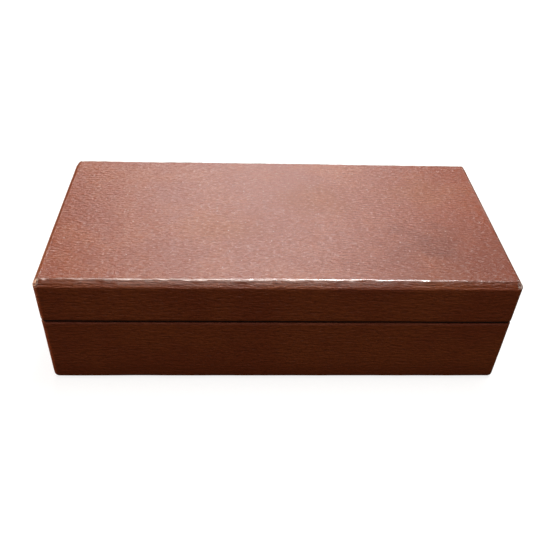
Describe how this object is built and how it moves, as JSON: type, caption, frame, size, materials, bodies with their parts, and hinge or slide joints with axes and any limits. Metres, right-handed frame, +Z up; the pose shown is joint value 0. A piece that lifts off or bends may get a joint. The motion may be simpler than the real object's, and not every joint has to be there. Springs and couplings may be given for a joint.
{
  "type": "jewellery case",
  "caption": "Long leather-covered jewellery case with a bevelled hinged lid, a padded lining, and a lift-out tray with ring rolls and open compartments.",
  "frame": {"origin": "centre of the underside, on the surface the case stands on", "axes": "+X along the case to the right, +Y to the back, where the hinges are, +Z up"},
  "size_m": [0.216, 0.1036, 0.062],
  "materials": {
    "leather": "straight-grained brown hide, semi-gloss, worn pale at the lid's front corners",
    "wood": "plain softwood, sanded, unvarnished",
    "suede": "short-napped tan suede cloth over card",
    "satin": "champagne satin over wadding",
    "baize": "dark brown baize",
    "brass": "polished brass, lightly aged"
  },
  "bodies": {
    "base": {"base_underside_sheet": "baize", "base_floor_board": "wood", "base_wall_front": "wood", "base_wall_back": "wood", "base_wall_left": "wood", "base_wall_right": "wood", "base_leather_band": "leather", "base_lining_floor": "suede", "base_lining_front": "suede", "base_lining_back": "suede", "base_lining_left": "suede", "base_lining_right": "suede", "tray_rest_left": "suede", "tray_rest_right": "suede", "base_divider": "suede", "hinge_left_base_leaf": "brass", "hinge_left_base_screw_1": "brass", "hinge_left_base_screw_2": "brass", "hinge_left_pin": "brass", "hinge_right_base_leaf": "brass", "hinge_right_base_screw_1": "brass", "hinge_right_base_screw_2": "brass", "hinge_right_pin": "brass"},
    "lid": {"lid_top_board": "wood", "lid_wall_front": "wood", "lid_wall_back": "wood", "lid_wall_left": "wood", "lid_wall_right": "wood", "lid_leather_cover": "leather", "lid_lining_front": "suede", "lid_lining_back": "suede", "lid_lining_left": "suede", "lid_lining_right": "suede", "lid_pad": "satin", "hinge_left_lid_leaf": "brass", "hinge_left_lid_screw_1": "brass", "hinge_left_lid_screw_2": "brass", "hinge_right_lid_leaf": "brass", "hinge_right_lid_screw_1": "brass", "hinge_right_lid_screw_2": "brass"},
    "tray": {"tray_floor": "suede", "tray_wall_front": "suede", "tray_wall_back": "suede", "tray_wall_left": "suede", "tray_wall_right": "suede", "tray_ring_divider": "suede", "tray_long_divider": "suede", "tray_short_divider": "suede", "ring_roll_1": "suede", "ring_roll_2": "suede", "ring_roll_3": "suede", "ring_roll_4": "suede", "ring_roll_5": "suede", "ring_roll_6": "suede"}
  },
  "joints": [
    {"name": "lid_hinge", "type": "hinge", "parent": "base", "child": "lid", "pos_m": [0, 0.05005, 0.0386], "axis": [-1, 0, 0], "range_deg": [0, 100]},
    {"name": "tray_lift", "type": "slide", "parent": "base", "child": "tray", "axis": [0, 0, 1], "range_m": [0, 0.015]}
  ]
}
